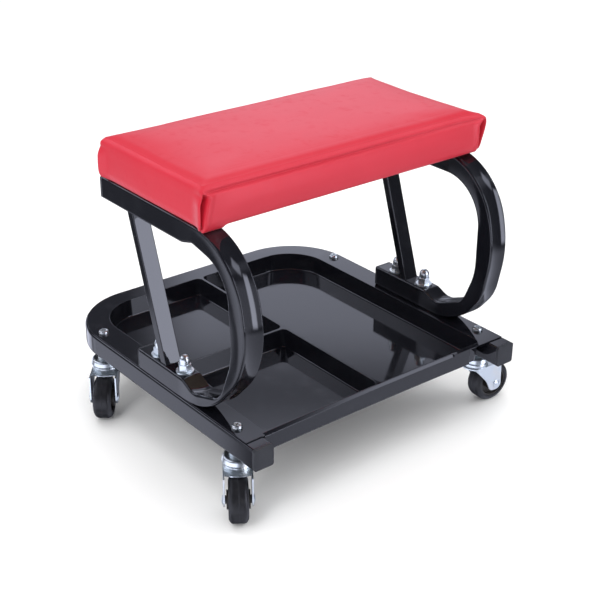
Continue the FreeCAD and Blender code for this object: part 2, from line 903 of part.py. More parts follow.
# Caster cup: the upper race, a pressed dish with a skirt
cup = new_body("cup_master")
cup_step = size.cup_radius - size.crown_radius
skirt_bottom = cup_top - size.cup_height
revolve(
    cup,
    "cup",
    [
        (kingpin_bore, cup_top, 0),
        (size.cup_radius - cup_step, cup_top, 2 * size.head_sheet),
        (size.cup_radius, skirt_bottom, 0),
        (size.cup_radius - size.head_sheet, skirt_bottom, 0),
        (size.cup_radius - size.head_sheet - cup_step, cup_under, size.head_sheet),
        (kingpin_bore, cup_under, 0),
    ],
)

# Fork, drawn with its kingpin on the local Z axis and its trail along local +Y.
# A bent sheet seen from above is cut to its side view, then gets its crown.
fork = new_body("fork_master")
leg_end_y = size.trail + size.fork_end_radius
leg_bottom = size.wheel_radius - size.fork_end_radius
toe_share, knee_share, shin_share = 0.62, 0.3, 0.2
above_plate = ("spacer_height", "cup_height", "race_gap", "crown_height")
plate_text = "Sizes.caster_height - " + " - ".join(f"Sizes.{alias}" for alias in above_plate)


def fork_plan(inset, past):
    """The fork from above: a round front and two straight sides."""
    half = fork_half - inset
    front = inset - size.fork_front
    corner = size.crown_radius - size.head_sheet - inset
    end = leg_end_y + past
    return [(-half, front, corner), (half, front, corner), (half, end, 0), (-half, end, 0)]


plan = sketch_on(fork, "XY_Plane", "fork_plan", [fork_plan(0, 0)])
pad(fork, plan, "Sizes.caster_height")
inside = sketch_on(fork, "XY_Plane", "fork_inside", [fork_plan(size.head_sheet, size.overrun)])
pocket(fork, inside, f"{plate_text} - Sizes.head_sheet", reverse=True)
side_view = [
    (-size.fork_front - size.overrun, plate_top, 0),
    (-size.fork_front - size.overrun, plate_bottom, 0),
    (-size.fork_front * toe_share, plate_bottom, size.fork_end_radius),
    (size.trail * knee_share, size.wheel_radius + size.fork_end_radius, size.wheel_radius),
    (size.trail - size.fork_end_radius * (1 + shin_share), leg_bottom, size.fork_end_radius),
    (leg_end_y, leg_bottom, size.fork_end_radius),
    (leg_end_y - size.head_sheet, plate_top, 0),
]
around = rectangle(
    4 * size.fork_width, 2 * size.caster_height + size.overrun, 0, (0, size.caster_height / 2)
)
side_cut = sketch_on(fork, "YZ_Plane", "fork_side", [around, side_view])
pocket(fork, side_cut, "2 * Sizes.fork_width", symmetric=True)
opening = sketch_on(fork, "XY_Plane", "fork_opening", [], plate_text)
add_circles(opening, [(0, 0)], "Sizes.crown_radius - Sizes.head_sheet")
pocket(fork, opening, "Sizes.head_sheet")
mouth_half = fork_half - size.head_sheet
mouth_end = leg_end_y + size.overrun
mouth_corners = [
    (-mouth_half, size.mouth_side, 0),
    (0, size.mouth_middle, size.wheel_radius),
    (mouth_half, size.mouth_side, 0),
    (mouth_half, mouth_end, 0),
    (-mouth_half, mouth_end, 0),
]
mouth = sketch_on(fork, "XY_Plane", "fork_mouth", [mouth_corners], plate_text)
pocket(fork, mouth, "Sizes.head_sheet")
crown_bore = sleeve_radius + size.sleeve_clearance
revolve(
    fork,
    "fork_crown",
    [
        (crown_bore, crown_top, 0),
        (size.crown_radius, crown_top, 2 * size.head_sheet),
        (size.crown_radius, plate_bottom, 0),
        (size.crown_radius - size.head_sheet, plate_bottom, 0),
        (size.crown_radius - size.head_sheet, crown_under, size.head_sheet),
        (crown_bore, crown_under, 0),
    ],
)
eyes = sketch_on(fork, "YZ_Plane", "axle_eyes", [])
add_circles(eyes, [(size.trail, size.wheel_radius)], "Sizes.axle_radius + Sizes.thread_clearance")
pocket(fork, eyes, "2 * Sizes.fork_width", symmetric=True)

# Axle rivet, wheel core and tyre, drawn about the X axis through the origin
axle = new_body("axle_master")
rivet_edge = size.rivet_height * head_share
rivet_crown = size.rivet_radius * head_share
revolve(
    axle,
    "axle",
    [
        (-fork_half - size.rivet_height, 0, 0),
        (-fork_half - size.rivet_height, rivet_crown, 0),
        (-fork_half - rivet_edge, size.rivet_radius, 0),
        (-fork_half, size.rivet_radius, 0),
        (-fork_half, size.axle_radius, 0),
        (fork_half, size.axle_radius, 0),
        (fork_half, size.rivet_radius, 0),
        (fork_half + rivet_edge, size.rivet_radius, 0),
        (fork_half + size.rivet_height, rivet_crown, 0),
        (fork_half + size.rivet_height, 0, 0),
    ],
    axis="H_Axis",
)

core = new_body("wheel_core_master")
bore_radius = size.axle_radius + size.axle_clearance
hub_half = size.hub_width / 2
nib_half = fork_half - size.head_sheet - size.hub_clearance
web_half = size.web_thickness / 2
tread_half = size.tread_width / 2
rim_edge = tread_half - size.rim_wall / 2
revolve(
    core,
    "wheel_core",
    [
        (-nib_half, bore_radius, 0),
        (-nib_half, size.nib_radius, 0),
        (-hub_half, size.nib_radius, 0),
        (-hub_half, size.hub_radius, 0),
        (-web_half, size.hub_radius, 0),
        (-web_half, size.rim_radius - size.rim_wall, 0),
        (-rim_edge, size.rim_radius - size.rim_wall, 0),
        (-rim_edge, size.rim_radius, 0),
        (rim_edge, size.rim_radius, 0),
        (rim_edge, size.rim_radius - size.rim_wall, 0),
        (web_half, size.rim_radius - size.rim_wall, 0),
        (web_half, size.hub_radius, 0),
        (hub_half, size.hub_radius, 0),
        (hub_half, size.nib_radius, 0),
        (nib_half, size.nib_radius, 0),
        (nib_half, bore_radius, 0),
    ],
    axis="H_Axis",
)

tyre = new_body("tyre_master")
shoulder_radius = size.wheel_radius - size.shoulder_height
tread_flat = tread_half - size.shoulder_width
revolve(
    tyre,
    "tyre",
    [
        (-tread_half, size.rim_radius, 0),
        (-tread_half, shoulder_radius, size.shoulder_width / 2),
        (-tread_flat, size.wheel_radius, size.shoulder_height),
        (tread_flat, size.wheel_radius, size.shoulder_height),
        (tread_half, shoulder_radius, size.shoulder_width / 2),
        (tread_half, size.rim_radius, 0),
    ],
    axis="H_Axis",
)

# Four casters, each turned to the way it stands
for corner, (x, y) in kingpin_places.items():
    swivel = upright(x, y, 0, -CASTER_YAWS[corner])
    hub_place = swivel.multiply(Placement(Vector(0, size.trail, size.wheel_radius), Rotation()))
    for name, master, place in (
        ("caster_cup", cup, swivel),
        ("fork", fork, swivel),
        ("axle", axle, hub_place),
        ("wheel_core", core, hub_place),
        ("tyre", tyre, hub_place),
    ):
        nodes.append(group(f"{name}_{corner}", [moved(master.Shape, place)]))

# Seat: a board, a foam block with a crown, and a cover wrapped under the board.
# Each level is a share of the seat's height, with how far the side is drawn in
# there as a share of the same height. They are evenly spaced along the side, with
# a short step at both ends.
seat_level_shares = [
    (0.0, 0.12),
    (0.004, 0.1),
    (0.051, 0.04),
    (0.158, 0.006),
    (0.297, 0.0),
    (0.436, 0.0),
    (0.574, 0.004),
    (0.713, 0.012),
    (0.832, 0.038),
    (0.923, 0.111),
    (0.966, 0.224),
    (0.982, 0.362),
    (0.992, 0.511),
    (0.998, 0.663),
    (0.9995, 0.81),
    (1.0, 0.85),
]
seat_width = size.frame_width + 2 * size.seat_overhang
seat_middle_y = tube_front_y + size.seat_front + size.seat_depth / 2


def cushion_loft(body, kind, *layers):
    """A loft through rounded rectangles, drawn in by the named layers on every side."""
    sketches = []
    skin = sum(getattr(size, layer) for layer in layers)
    skin_text = " + ".join(["0", *(f"Sizes.{layer}" for layer in layers)])
    for number, (rise_share, inset_share) in enumerate(seat_level_shares):
        inset = skin + inset_share * size.seat_height
        level = rectangle(
            seat_width - 2 * inset,
            size.seat_depth - 2 * inset,
            size.seat_corner - skin,
            (0, seat_middle_y),
        )
        span_text = f"(Sizes.seat_height - 2 * ({skin_text}))"
        height_text = f"{arm_top_text} + {skin_text} + {rise_share} * {span_text}"
        name = f"{body.Name}_{kind.lower()}_{number}"
        sketches.append(sketch_on(body, "XY_Plane", name, [level], height_text))
    loft = body.newObject(f"PartDesign::{kind}Loft", f"{body.Name}_{kind.lower()}_loft")
    loft.Profile = sketches[0]
    loft.Sections = sketches[1:]
    return checked(loft)


cover = new_body("seat_cover_body")
cushion_loft(cover, "Additive")
cushion_loft(cover, "Subtractive", "cover_thickness")
hem_gap = rectangle(
    seat_width - 2 * (size.board_inset + size.hem_width),
    size.seat_depth - 2 * (size.board_inset + size.hem_width),
    size.seat_corner,
    (0, seat_middle_y),
)
under = sketch_on(cover, "XY_Plane", "hem_gap", [hem_gap], f"{arm_top_text} - Sizes.overrun")
pocket(cover, under, "Sizes.overrun + Sizes.cover_thickness * 2", reverse=True)

foam = new_body("seat_foam")
cushion_loft(foam, "Additive", "cover_thickness", "foam_clearance")
below = rectangle(seat_width, size.seat_depth, 0, (0, seat_middle_y))
under = sketch_on(foam, "XY_Plane", "foam_below", [below], arm_top_text)
pocket(foam, under, "Sizes.cover_thickness + Sizes.board_thickness", reverse=True)
nodes.append(foam)

board = new_body("seat_board_body")
board_plan = rectangle(
    seat_width - 2 * size.board_inset,
    size.seat_depth - 2 * size.board_inset,
    size.seat_corner - 2 * size.cover_thickness,
    (0, seat_middle_y),
)
board_under_text = f"{arm_top_text} + Sizes.cover_thickness"
board_sketch = sketch_on(board, "XY_Plane", "board_plan", [board_plan], board_under_text)
pad(board, board_sketch, "Sizes.board_thickness")


def staple(x, y, along_x):
    """A wire staple: its crown lies under the hem and its legs go up into the board."""
    wire, crown, leg = size.staple_wire, size.staple_crown, size.staple_leg
    parts = [Part.makeBox(crown, wire, wire, Vector(-crown / 2, -wire / 2, -wire))]
    for end in (-crown / 2, crown / 2 - wire):
        parts.append(Part.makeBox(wire, wire, leg, Vector(end, -wire / 2, 0)))
    shape = parts[0].fuse(parts[1:]).removeSplitter()
    return moved(shape, upright(x, y, arm_top, 0 if along_x else 90))


hem_x = seat_width / 2 - size.board_inset - size.hem_width + size.staple_edge
hem_y = size.seat_depth / 2 - size.board_inset - size.hem_width + size.staple_edge
staples = []
for side in (-1, 1):
    for step in range(STAPLES_ALONG):
        along = -1 + (2 * step + 1) / STAPLES_ALONG
        staples.append(staple(along * (hem_x - size.hem_width / 2), seat_middle_y + side * hem_y, True))
    for step in range(STAPLES_ACROSS):
        across = -1 + (2 * step + 1) / STAPLES_ACROSS
        staples.append(staple(side * hem_x, seat_middle_y + across * (hem_y - size.hem_width / 4), False))
staple_node = group("seat_staples", staples)
nodes.append(staple_node)

# Seat screws: up through each top arm and the hem into the board
seat_screw = new_body("seat_screw_master")
seat_screw_length = size.tube_size + size.cover_thickness + size.seat_screw_grip
rounding_start = size.seat_screw_head_height * (1 - head_share)
revolve(
    seat_screw,
    "seat_screw",
    [
        (0, -size.seat_screw_head_height, 0),
        (size.seat_screw_head, -size.seat_screw_head_height, rounding_start),
        (size.seat_screw_head, 0, 0),
        (size.seat_screw_radius, 0, 0),
        (size.seat_screw_radius, seat_screw_length, 0),
        (0, seat_screw_length, 0),
    ],
)
seat_screw_y = tube_front_y + size.seat_screw_front
seat_screws = group(
    "seat_screws",
    [
        moved(seat_screw.Shape, upright(side * arm_x, seat_screw_y, arm_top - size.tube_size))
        for side in (-1, 1)
    ],
)
nodes.append(seat_screws)

# Cover and board with the holes that their staples and screws make
fixings = doc.addObject("Part::Compound", "fixings")
fixings.Links = [staple_node, seat_screws]
for name, body in (("seat_cover", cover), ("seat_board", board)):
    pierced = doc.addObject("Part::Cut", name)
    pierced.Label = name
    pierced.Base = body
    pierced.Tool = fixings
    nodes.append(pierced)

doc.recompute()
for item in doc.Objects:
    if "Invalid" in item.State or "Error" in item.State:
        raise RuntimeError(f"{item.Name} failed: {item.State}")
for node in nodes:
    if node.Shape.isNull() or not node.Shape.isValid():
        raise RuntimeError(f"{node.Label} has no valid shape")
for node in nodes:
    node.Shape.exportStep(f"parts/{node.Label}.step")
    print(node.Label, len(node.Shape.Solids), round(node.Shape.Volume, 1))
print(len(nodes), "nodes")
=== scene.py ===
import json
import math

import bmesh
import bpy
from mathutils import Matrix, Vector, noise
from mathutils.kdtree import KDTree


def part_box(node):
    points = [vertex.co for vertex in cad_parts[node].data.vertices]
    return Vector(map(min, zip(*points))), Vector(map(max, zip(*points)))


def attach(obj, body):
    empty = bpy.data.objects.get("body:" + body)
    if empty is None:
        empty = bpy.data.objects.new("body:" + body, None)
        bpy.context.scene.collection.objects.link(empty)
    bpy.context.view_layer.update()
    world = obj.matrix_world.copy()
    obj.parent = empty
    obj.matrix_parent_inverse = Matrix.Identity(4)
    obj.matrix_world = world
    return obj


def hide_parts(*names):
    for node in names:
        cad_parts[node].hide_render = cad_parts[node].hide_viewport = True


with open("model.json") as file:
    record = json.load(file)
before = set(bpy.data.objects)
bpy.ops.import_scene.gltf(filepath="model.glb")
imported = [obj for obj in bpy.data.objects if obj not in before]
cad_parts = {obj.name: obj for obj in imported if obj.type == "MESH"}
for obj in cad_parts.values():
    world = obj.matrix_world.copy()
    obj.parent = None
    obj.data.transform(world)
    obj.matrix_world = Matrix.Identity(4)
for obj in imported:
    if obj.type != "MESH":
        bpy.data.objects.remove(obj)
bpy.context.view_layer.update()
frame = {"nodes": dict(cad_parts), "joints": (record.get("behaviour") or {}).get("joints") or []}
nodes = frame["nodes"]

# Base frame: a square steel tube bent to a U that is open to the front.
# It is powder coated gloss black after bending, a hard wet-looking skin
# with a faint orange peel and a little dust.


class Flow:
    """A socket of a material's nodes. Sums written on it add the Math nodes that they need."""

    def __init__(self, tree, socket=None):
        self.tree = tree
        self.socket = socket

    def node(self, kind, inputs, output=0, **settings):
        """The output of a new node, from its type, settings and inputs."""
        made = self.tree.nodes.new("ShaderNode" + kind)
        for name, value in settings.items():
            setattr(made, name, value)
        feed(made, inputs)
        return Flow(self.tree, made.outputs[output])

    def maths(self, operation, first, second):
        return self.node("Math", {0: first, 1: second}, operation=operation)

    def __add__(self, other):
        return self.maths("ADD", self, other)

    def __sub__(self, other):
        return self.maths("SUBTRACT", self, other)

    def __rsub__(self, other):
        return self.maths("SUBTRACT", other, self)

    def __mul__(self, other):
        return self.maths("MULTIPLY", self, other)

    def __truediv__(self, other):
        return self.maths("DIVIDE", self, other)

    def __pow__(self, other):
        return self.maths("POWER", self, other)

    def __abs__(self):
        return self.maths("ABSOLUTE", self, 0.0)

    __radd__ = __add__
    __rmul__ = __mul__


def feed(made, inputs):
    """Gives a node's sockets their values, or links the flows that they are given."""
    for name, value in inputs.items():
        if isinstance(value, Flow):
            value.tree.links.new(value.socket, made.inputs[name])
        else:
            made.inputs[name].default_value = value


def between(flow, low, high):
    """0 below low and 1 above high, with a soft passage."""
    inputs = {"Value": flow, "From Min": low, "From Max": high}
    return flow.node("MapRange", inputs, interpolation_type="SMOOTHSTEP")


def tint(share, first, second):
    """A colour from first to second by a share."""
    inputs = {0: share, 6: first, 7: second}
    return share.node("Mix", inputs, output=2, data_type="RGBA")


def patches(place, scale, detail=2.0):
    """Soft cloudy patches from 0 to 1: how many to the metre, and in how many finer layers."""
    return place.node("TexNoise", {"Vector": place, "Scale": scale, "Detail": detail})


def relief(height, rounding=None):
    """The normal of a surface whose height is given in metres, its edges rounded off."""
    inputs = {"Height": height, "Distance": 1.0, "Strength": 1.0}
    if rounding:
        inputs["Normal"] = height.node("Bevel", {"Radius": rounding}, samples=4)
    return height.node("Bump", inputs)


def finish(name, build):
    """A material whose surface is what build gives from its place on the object at rest."""
    material = bpy.data.materials.new(name)
    material.use_nodes = True
    start = Flow(material.node_tree)
    place = start.node("TexCoord", {}, output="Object")
    feed(material.node_tree.nodes["Principled BSDF"], build(place))
    return material


def dress(material, *names):
    """Puts a material on the CAD's own nodes."""
    for name in names:
        for slot in nodes[name].material_slots:
            slot.material = material


def black_paint(name, peel, ripple, rounding, dents=None):
    """Gloss black powder coat: the depth of its orange peel and of the steel's ripples, the
    radius that the edges are rounded to, all in metres, and the form of any dents."""

    def build(place):
        dust = between(patches(place, 40.0, 6.0), 0.52, 0.8)
        height = patches(place, 330.0) * peel + patches(place, 17.0) * ripple
        if dents:
            height = height + dents(place)
        return {
            "Base Color": tint(dust, (0.0055, 0.0058, 0.0085, 1), (0.011, 0.0115, 0.015, 1)),
            "Roughness": 0.07 + 0.07 * dust,
            "Normal": relief(height, rounding),
            "IOR": 1.5,
            "Coat Weight": 0.15,
            "Coat Roughness": 0.03,
        }

    return finish(name, build)


dress(black_paint("frame_paint", 7e-6, 2e-5, 0.0009), "base_frame")

# Base plugs: two black polyethylene plugs pressed into the open ends of the U.
# Their faces are moulded flat and a little duller than the paint, with sink marks.


def black_plastic(place):
    grain = patches(place, 1800.0, 3.0)
    sink = between(patches(place, 60.0), 0.35, 0.7)
    return {
        "Base Color": tint(sink, (0.016, 0.017, 0.021, 1), (0.024, 0.025, 0.03, 1)),
        "Roughness": 0.3 + 0.12 * sink,
        "Normal": relief(grain * 1.2e-5 + sink * 4e-5, 0.0006),
        "IOR": 1.42,
    }


plug_plastic = finish("plug_plastic", black_plastic)
dress(plug_plastic, "base_plugs")

# Tool tray: pressed from one steel sheet, with three sunk bays and a hem folded down in front.
# It has the frame's paint, over flat sheet that mirrors what stands on it and ripples a little.
dress(black_paint("tray_paint", 4e-6, 6e-5, 0.0011), "tool_tray")

# Side frames: two square tubes bent to a C, drawn in and a little crushed at the bends,
# in the same paint. The walls sink between the corners there, which gives long highlights.


def split(place):
    """The place's three coordinates, each by itself."""
    parts = place.node("SeparateXYZ", {0: place})
    return [Flow(parts.tree, output) for output in parts.socket.node.outputs]


def sunk_walls(place):
    """The height of the bent tube's walls, which rises from their middle to their corners."""
    half_tube = 0.0125
    middle = (sum(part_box("side_frame_right"), Vector()) / 2).x
    centre_forward, centre_height = 0.095, 0.205
    bend_radius, flattening = 0.0785, 0.858
    bend_ends, straight_starts = -0.1, -0.06
    outer_sunk, side_sunk = 0.0026, 0.0006
    across, back, up = split(place)
    over_outer = abs(abs(across) - middle) / half_tube
    along = abs(back + centre_forward) ** 2.0
    from_centre = (along + (abs(up - centre_height) * flattening) ** 2.0) ** 0.5
    over_side = abs(from_centre - bend_radius) / half_tube
    bent = 1.0 - between(back, bend_ends, straight_starts)
    return bent * (over_outer ** 2.0 * outer_sunk + over_side ** 2.0 * side_sunk)


side_paint = black_paint("side_paint", 6e-6, 9e-5, 0.0012, sunk_walls)
dress(side_paint, "side_frame_left", "side_frame_right")

# Braces: a rectangular steel tube between the arms of each C, leaning back.
# It is cut aslant, welded to both arms and painted with them, over a flatter skin.
dress(black_paint("brace_paint", 6e-6, 3e-5, 0.0007), "brace_left", "brace_right")

# Arm plugs: four square plugs pressed into the rear ends of the arms,
# moulded from the same black polyethylene as the base plugs.
dress(plug_plastic, "arm_plugs")

# Frame bolts, washers and cap nuts: they clamp each lower arm to the base through the tray's rim.
# The steel is zinc plated, bright and bluish, with faint cloudy patches and marks from tumbling.


def zinc(tone, cloud, scratch):
    """Zinc plate: how bright it is, how cloudy, and the depth of its marks in metres."""

    def build(place):
        haze = between(patches(place, 160.0, 5.0), 0.35, 0.75)
        warm = between(patches(place, 45.0), 0.45, 0.7)
        marks = patches(place, 1500.0, 4.0)
        blue = tuple(tone * share for share in (0.93, 1.0, 1.02)) + (1,)
        yellow = tuple(tone * share for share in (0.99, 1.0, 0.95)) + (1,)
        return {
            "Base Color": tint(warm, blue, yellow),
            "Metallic": 1.0,
            "Roughness": 0.29 + cloud * haze,
            "Normal": relief(marks * scratch, 0.0004),
        }

    return build


bright_zinc = finish("bright_zinc", zinc(0.8, 0.12, 1.5e-5))
dress(bright_zinc, "frame_bolts", "frame_washers", "cap_nuts")

# Caster stacks: pan head screws, spacers, sleeves, races and lock nuts on the four kingpins.
# They are turned steel with the same zinc. Where it is out of sight it is cloudier, and its darker
# tone there is painted shade.
dress(bright_zinc, "caster_screws")
# The lower tone of this copy is painted shade; its extra roughness and deeper marks are the
# finish.
dull_shaded_zinc = finish("dull_shaded_zinc", zinc(0.66, 0.2, 2.5e-5))
dress(dull_shaded_zinc, "caster_spacers", "kingpin_sleeves", "lower_races", "kingpin_nuts")

# Bearing balls: two rings of polished steel balls in each caster head, one over and one under
# the fork's plate. They are caught between the raceways, under a film of grease.


def greased_steel(place):
    grease = between(patches(place, 300.0, 3.0), 0.4, 0.6)
    return {
        "Base Color": tint(grease, (0.62, 0.62, 0.63, 1), (0.4, 0.34, 0.24, 1)),
        "Metallic": 1.0,
        "Roughness": 0.06 + 0.22 * grease,
    }


dress(finish("greased_steel", greased_steel), "upper_balls", "lower_balls")

# Caster cups and forks: pressed from steel strip and zinc plated after forming.
# The drawn skirts keep long soft ripples, and the rivet heads are upset cold.
pressed_zinc = finish("pressed_zinc", zinc(0.82, 0.12, 3e-5))
for corner in ("fl", "fr", "rl", "rr"):
    dress(pressed_zinc, f"caster_cup_{corner}", f"fork_{corner}")
    dress(bright_zinc, f"axle_{corner}")

# Wheels: a moulded dark centre in a hard dark tread. The tread has a parting line
# round its middle from the mould, and a finely grained running face that is a little dusty.


def tread(centre, axle):
    """The tread of the wheel that turns about the axle through its centre."""
    line_flat, line_foot = 0.00015, 0.0006

    def build(place):
        out = place.node("VectorMath", {0: place, 1: centre}, operation="SUBTRACT")
        along = out.node("VectorMath", {0: out, 1: axle}, output="Value", operation="DOT_PRODUCT")
        line = 1 - between(abs(along), line_flat, line_foot)
        dust = between(patches(place, 120.0, 5.0), 0.4, 0.75)
        grain = patches(place, 1300.0, 4.0)
        return {
            "Base Color": tint(dust, (0.009, 0.009, 0.0115, 1), (0.018, 0.018, 0.021, 1)),
            "Roughness": 0.4 + 0.16 * dust,
            "Normal": relief(grain * 4e-5 + line * 1.6e-4, 0.0005),
            "Specular IOR Level": 0.42,
        }

    return build


def dark_core(place):
    flow_marks = patches(place, 260.0, 3.0)
    mottle = between(flow_marks, 0.4, 0.7)
    return {
        "Base Color": tint(mottle, (0.026, 0.023, 0.021, 1), (0.042, 0.037, 0.034, 1)),
        "Roughness": 0.34 + 0.14 * mottle,
        "Normal": relief(flow_marks * 5e-5, 0.0005),
    }


core_plastic = finish("core_plastic", dark_core)
for joint in frame["joints"]:
    if joint["name"].startswith("wheel_"):
        corner = joint["name"].split("_")[1]
        dress(finish(f"tread_{corner}", tread(joint["pos_m"], joint["axis"])), f"tyre_{corner}")
        dress(core_plastic, f"wheel_core_{corner}")

# Seat board: bare plywood under the cushion, seen from below inside the stapled hem.
# Its long grain runs across the seat, with darker growth bands and short open pores.


def plywood(place):
    band_place = place.node("Mapping", {"Vector": place, "Scale": (0.18, 1.0, 1.0)})
    wave = {"Scale": 26.0, "Distortion": 9.0, "Detail": 3.0, "Detail Scale": 1.6}
    wave["Vector"] = band_place
    bands = band_place.node("TexWave", wave, output=1, bands_direction="Y")
    pore_place = place.node("Mapping", {"Vector": place, "Scale": (0.05, 1.0, 1.0)})
    pores = between(patches(pore_place, 900.0, 3.0), 0.58, 0.72)
    light = tint(bands, (0.46, 0.31, 0.17, 1), (0.6, 0.44, 0.27, 1))
    return {
        "Base Color": tint(pores * 0.5, light, (0.24, 0.14, 0.07, 1)),
        "Roughness": 0.62 + 0.12 * pores,
        "Normal": relief(bands * 3e-5 - pores * 6e-5, 0.0006),
    }


dress(finish("plywood", plywood), "seat_board")

# Cushion: a foam block in red vinyl, pulled over the board and stapled underneath.
# The vinyl is folded like a parcel at the corners, where the ends lap over the front and back,
# and it is drawn so tight between the folds that a crease runs below the front and back edge.


def spaced(half):
    """Places from -half to half, close together at the folds and at the hem's edge."""
    fold_steps = [0.0012] * 22
    hem_steps = [0.0042, 0.0042, 0.0038, 0.0004]
    open_step = 0.0055
    steps = fold_steps + hem_steps
    rest = half - sum(steps)
    count = round(rest / open_step)
    steps += [rest / count] * count
    places = [-half]
    for step in steps + steps[::-1]:
        places.append(places[-1] + step)
    return places


def on_curve(points, place):
    """The point at a place on a smooth curve through points numbered from 0."""
    number = min(max(int(place), 0), len(points) - 2)
    share = place - number
    first, second, third, fourth = (
        Vector(points[min(max(number + step, 0), len(points) - 1)]) for step in (-1, 0, 1, 2)
    )
    bend = 2 * first - 5 * second + 4 * third - fourth
    twist = 3 * second - first - 3 * third + fourth
    return 0.5 * (2 * second + (third - first) * share + bend * share ** 2 + twist * share ** 3)


def passage(value, low, high):
    """0 below low and 1 above high, with a soft passage."""
    share = min(max((value - low) / (high - low), 0.0), 1.0)
    return share * share * (3 - 2 * share)


def bell(value, width):
    """1 at 0, falling off to either side over a width."""
    return math.exp(-(value / width) ** 2)


seat_low, seat_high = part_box("seat_cover")
seat_middle = (seat_low + seat_high) / 2
half_width = (seat_high.x - seat_low.x) / 2
half_depth = (seat_high.y - seat_low.y) / 2
# The side from the hem to the crown: the height over the hem, and how far the side is in there
side_curve = [
    (0.0, 0.0061), (0.0026, 0.002), (0.008, 0.0003), (0.015, 0.0), (0.022, 0.0),
    (0.029, 0.0002), (0.036, 0.0006), (0.042, 0.0019), (0.0466, 0.0056),
]
# The crown from its edge to its flat middle: the height over the hem at even steps inwards
crown_curve = [0.0466, 0.0488, 0.0496, 0.0501, 0.0504, 0.0505, 0.0505]
crown_step = 0.0074
edge_inset = side_curve[-1][1]
seat_corner = 0.0035
hem_inside = 0.039


def rounded_plan(x, y):
    """The place in plan, with the corners rounded."""
    inner_x = min(max(x, seat_corner - half_width), half_width - seat_corner)
    inner_y = min(max(y, seat_corner - half_depth), half_depth - seat_corner)
    out = Vector((x - inner_x, y - inner_y))
    if out.x and out.y:
        out *= max(abs(out.x), abs(out.y)) / out.length
    return inner_x + out.x, inner_y + out.y


def on_side(x, y, share):
    """A point of the side, from its place on the outline and its share of the way up."""
    height, inset = on_curve(side_curve, share * (len(side_curve) - 1))
    x, y = rounded_plan(x, y)
    return Vector((x * (1 - inset / half_width), y * (1 - inset / half_depth), height))


def on_crown(x, y):
    """A point of the top, which falls off towards the edges and a little more at the corners."""
    mitre_half, before_edge = 0.006, -0.4
    x, y = rounded_plan(x, y)
    x, y = x * (1 - edge_inset / half_width), y * (1 - edge_inset / half_depth)
    in_x, in_y = half_width - edge_inset - abs(x), half_depth - edge_inset - abs(y)
    inset = min(in_x, in_y) - max(mitre_half - abs(in_x - in_y), 0) ** 2 / (4 * mitre_half)
    place = min(max(inset / crown_step, before_edge), len(crown_curve) - 1)
    return Vector((x, y, on_curve([(height, 0) for height in crown_curve], place).x))


def on_bottom(x, y):
    """A point of the underside, which is flat."""
    inset = side_curve[0][1]
    x, y = rounded_plan(x, y)
    return Vector((x * (1 - inset / half_width), y * (1 - inset / half_depth), 0.0))


def shell(columns, rows, levels):
    """A closed grid round the cushion: its bmesh, and its vertices by column, row and level."""
    made = bmesh.new()
    grid = {}
    ends = (len(columns) - 1, len(rows) - 1, len(levels) - 1)

    def vertex(i, j, k):
        if (i, j, k) not in grid:
            x, y = columns[i], rows[j]
            if i in (0, ends[0]) or j in (0, ends[1]):
                place = on_side(x, y, levels[k])
            else:
                place = on_crown(x, y) if k else on_bottom(x, y)
            grid[i, j, k] = made.verts.new(place + Vector((0, seat_middle.y, seat_low.z)))
        return grid[i, j, k]

    def skin(fixed, level, turn):
        """One of the six sides: the axis across it, its level there and which way it faces."""
        first, second = [axis for axis in (0, 1, 2) if axis != fixed]
        for a in range(ends[first]):
            for b in range(ends[second]):
                square = []
                for step_a, step_b in ((0, 0), (1, 0), (1, 1), (0, 1))[::turn]:
                    place = [level] * 3
                    place[first], place[second] = a + step_a, b + step_b
                    square.append(vertex(*place))
                made.faces.new(square)

    skin(2, 0, -1)
    skin(2, ends[2], 1)
    skin(1, 0, 1)
    skin(1, ends[1], -1)
    skin(0, 0, -1)
    skin(0, ends[0], 1)
    return made, grid


def applied(piece):
    """The piece's mesh with its modifiers in it, and the piece left without them."""
    graph = bpy.context.evaluated_depsgraph_get()
    mesh = bpy.data.meshes.new_from_object(piece.evaluated_get(graph))
    piece.modifiers.clear()
    return mesh


def swelling():
    """How the vinyl's cloth moves when the foam fills it: a tree of places, and their moves."""
    across, deep, high = 24, 12, 12
    block, _ = shell(
        [half_width * (step / across - 1) for step in range(2 * across + 1)],
        [half_depth * (step / deep - 1) for step in range(2 * deep + 1)],
        [step / high for step in range(high + 1)],
    )
    mesh = bpy.data.meshes.new("foam_block")
    block.to_mesh(mesh)
    block.free()
    cloth_piece = bpy.data.objects.new("foam_block", mesh)
    bpy.context.scene.collection.objects.link(cloth_piece)
    remesh = cloth_piece.modifiers.new("remesh", "REMESH")
    remesh.mode = "VOXEL"
    remesh.voxel_size = 0.005
    cloth_piece.data = applied(cloth_piece)
    starts = [vertex.co.copy() for vertex in cloth_piece.data.vertices]
    stapled = cloth_piece.vertex_groups.new(name="stapled")
    held_below = seat_low.z + 0.003
    held = [number for number, start in enumerate(starts) if start.z < held_below]
    stapled.add(held, 1.0, "REPLACE")
    frames = 20
    cloth = cloth_piece.modifiers.new("cloth", "CLOTH")
    cloth.settings.use_pressure = True
    cloth.settings.uniform_pressure_force = 4.0
    cloth.settings.effector_weights.gravity = 0.0
    cloth.settings.vertex_group_mass = "stapled"
    for step in range(1, frames + 1):
        bpy.context.scene.frame_set(step)
    cloth_piece.data = applied(cloth_piece)
    bpy.context.scene.frame_set(1)
    # The vinyl is drawn tight over dense foam, so only a small share of each move is kept
    kept, most = 0.07, 0.002
    moves = []
    tree = KDTree(len(starts))
    for number, (vertex, start) in enumerate(zip(cloth_piece.data.vertices, starts)):
        move = kept * (vertex.co - start)
        moves.append(move * min(1.0, most / max(move.length, 1e-6)))
        tree.insert(start, number)
    tree.balance()
    bpy.data.objects.remove(cloth_piece)
    return tree, moves


